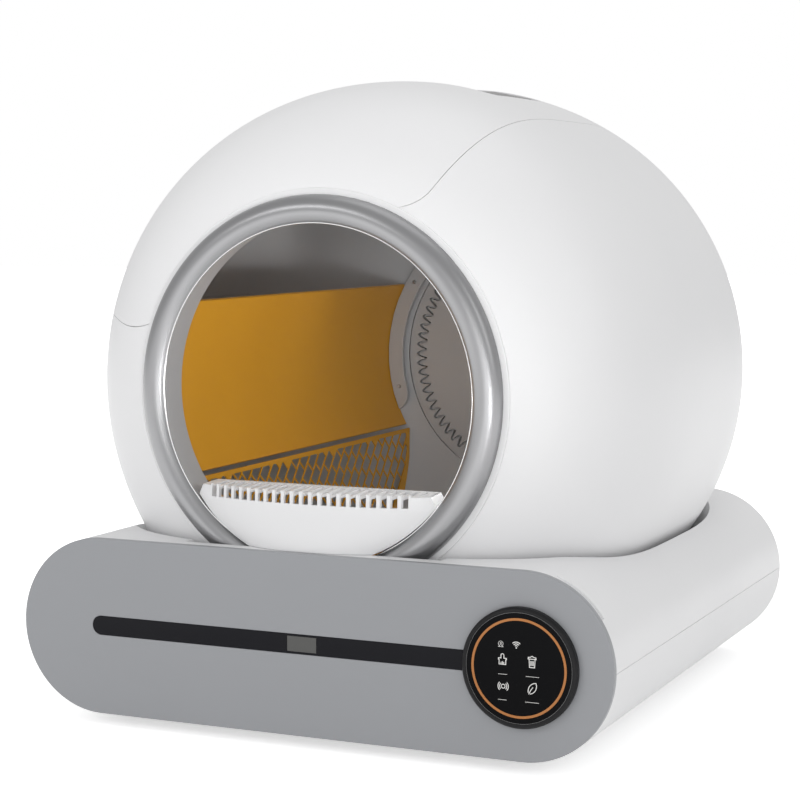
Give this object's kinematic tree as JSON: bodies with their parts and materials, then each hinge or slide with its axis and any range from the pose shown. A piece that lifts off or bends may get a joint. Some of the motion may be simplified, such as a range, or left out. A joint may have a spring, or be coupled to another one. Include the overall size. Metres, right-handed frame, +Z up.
{
  "type": "self cleaning litter box",
  "caption": "Self cleaning litter box: rotating globe with a round front entrance, sifting screen and top port, on a wide drawer base with a front step.",
  "frame": {"origin": "on the floor under the middle of the whole part, at the bottom centre of its box", "axes": "+X to the right as the user faces the entrance, +Y from the entrance to the back, +Z up"},
  "size_m": [0.52, 0.5594, 0.5363],
  "materials": {
    "shell_white": "satin",
    "liner_grey": "fine matt grain",
    "satin_silver": "satin metallic coat on plastic",
    "amber": "satin",
    "panel_grey": "satin",
    "black_gloss": "gloss",
    "window_grey": "gloss",
    "dark_plastic": "satin",
    "copper": "satin metallic",
    "circuit_board": "solder mask",
    "black_rubber": "matt",
    "nylon": "moulded",
    "steel": "plain"
  },
  "bodies": {
    "base": {"base_upper_shell": "shell_white", "base_lower_shell": "shell_white", "rubber_foot_front_left": "black_rubber", "rubber_foot_front_right": "black_rubber", "rubber_foot_rear_left": "black_rubber", "rubber_foot_rear_right": "black_rubber", "roller_bracket_left": "nylon", "roller_bracket_right": "nylon", "roller_axle_left": "steel", "roller_axle_right": "steel", "rear_drive_cover": "shell_white", "gearmotor": "dark_plastic", "control_board": "circuit_board", "power_socket": "dark_plastic"},
    "drum": {"globe_lower_shell": "shell_white", "drum_liner": "liner_grey", "globe_cover": "shell_white", "cover_liner": "liner_grey", "port_frame": "liner_grey", "mouth_ring": "satin_silver", "mouth_collar": "shell_white", "mouth_lip": "liner_grey", "litter_liner": "amber", "sifting_screen": "amber", "liner_clamp": "liner_grey", "liner_rivet_1": "steel", "liner_rivet_2": "steel", "drive_gear": "liner_grey", "gear_trim_ring": "liner_grey", "gear_screw_1": "steel", "gear_screw_2": "steel", "gear_screw_3": "steel", "gear_screw_4": "steel", "gear_screw_5": "steel", "gear_screw_6": "steel"},
    "step": {"litter_step": "shell_white"},
    "drawer": {"drawer_front": "panel_grey", "waste_tray": "panel_grey", "strip_window": "black_gloss", "sensor_window": "window_grey", "radar_module": "circuit_board", "display_bezel": "dark_plastic", "display_glass": "black_gloss", "light_ring": "copper", "display_board": "circuit_board"},
    "pinion": {"drive_pinion": "nylon", "drive_shaft": "steel"},
    "roller_front_left": {"roller_front_left": "black_rubber"},
    "roller_front_right": {"roller_front_right": "black_rubber"},
    "roller_rear_left": {"roller_rear_left": "black_rubber"},
    "roller_rear_right": {"roller_rear_right": "black_rubber"}
  },
  "joints": [
    {"name": "drum_spin", "type": "hinge", "parent": "base", "child": "drum", "pos_m": [0, -0.00627, 0.2796], "axis": [0, 1, 0], "continuous": true},
    {"name": "pinion_spin", "type": "hinge", "parent": "base", "child": "pinion", "pos_m": [0, 0.2468, 0.1461], "axis": [0, 1, 0], "continuous": true},
    {"name": "roller_front_left_spin", "type": "hinge", "parent": "base", "child": "roller_front_left", "pos_m": [-0.20586, -0.07599, 0.10686], "axis": [0, 1, 0], "continuous": true},
    {"name": "roller_front_right_spin", "type": "hinge", "parent": "base", "child": "roller_front_right", "pos_m": [0.20586, -0.07599, 0.10686], "axis": [0, 1, 0], "continuous": true},
    {"name": "roller_rear_left_spin", "type": "hinge", "parent": "base", "child": "roller_rear_left", "pos_m": [-0.20586, 0.06345, 0.10686], "axis": [0, 1, 0], "continuous": true},
    {"name": "roller_rear_right_spin", "type": "hinge", "parent": "base", "child": "roller_rear_right", "pos_m": [0.20586, 0.06345, 0.10686], "axis": [0, 1, 0], "continuous": true},
    {"name": "drawer_slide", "type": "slide", "parent": "base", "child": "drawer", "axis": [0, -1, 0], "range_m": [0, 0.3]},
    {"name": "step_lift", "type": "slide", "parent": "base", "child": "step", "axis": [0, 0, 1], "range_m": [0, 0.04]}
  ],
  "couplings": [
    {"joint": "pinion_spin", "follows": "drum_spin", "ratio": -5.8462},
    {"joint": "roller_front_left_spin", "follows": "drum_spin", "ratio": -23.375},
    {"joint": "roller_front_right_spin", "follows": "drum_spin", "ratio": -23.375},
    {"joint": "roller_rear_left_spin", "follows": "drum_spin", "ratio": -23.375},
    {"joint": "roller_rear_right_spin", "follows": "drum_spin", "ratio": -23.375}
  ]
}
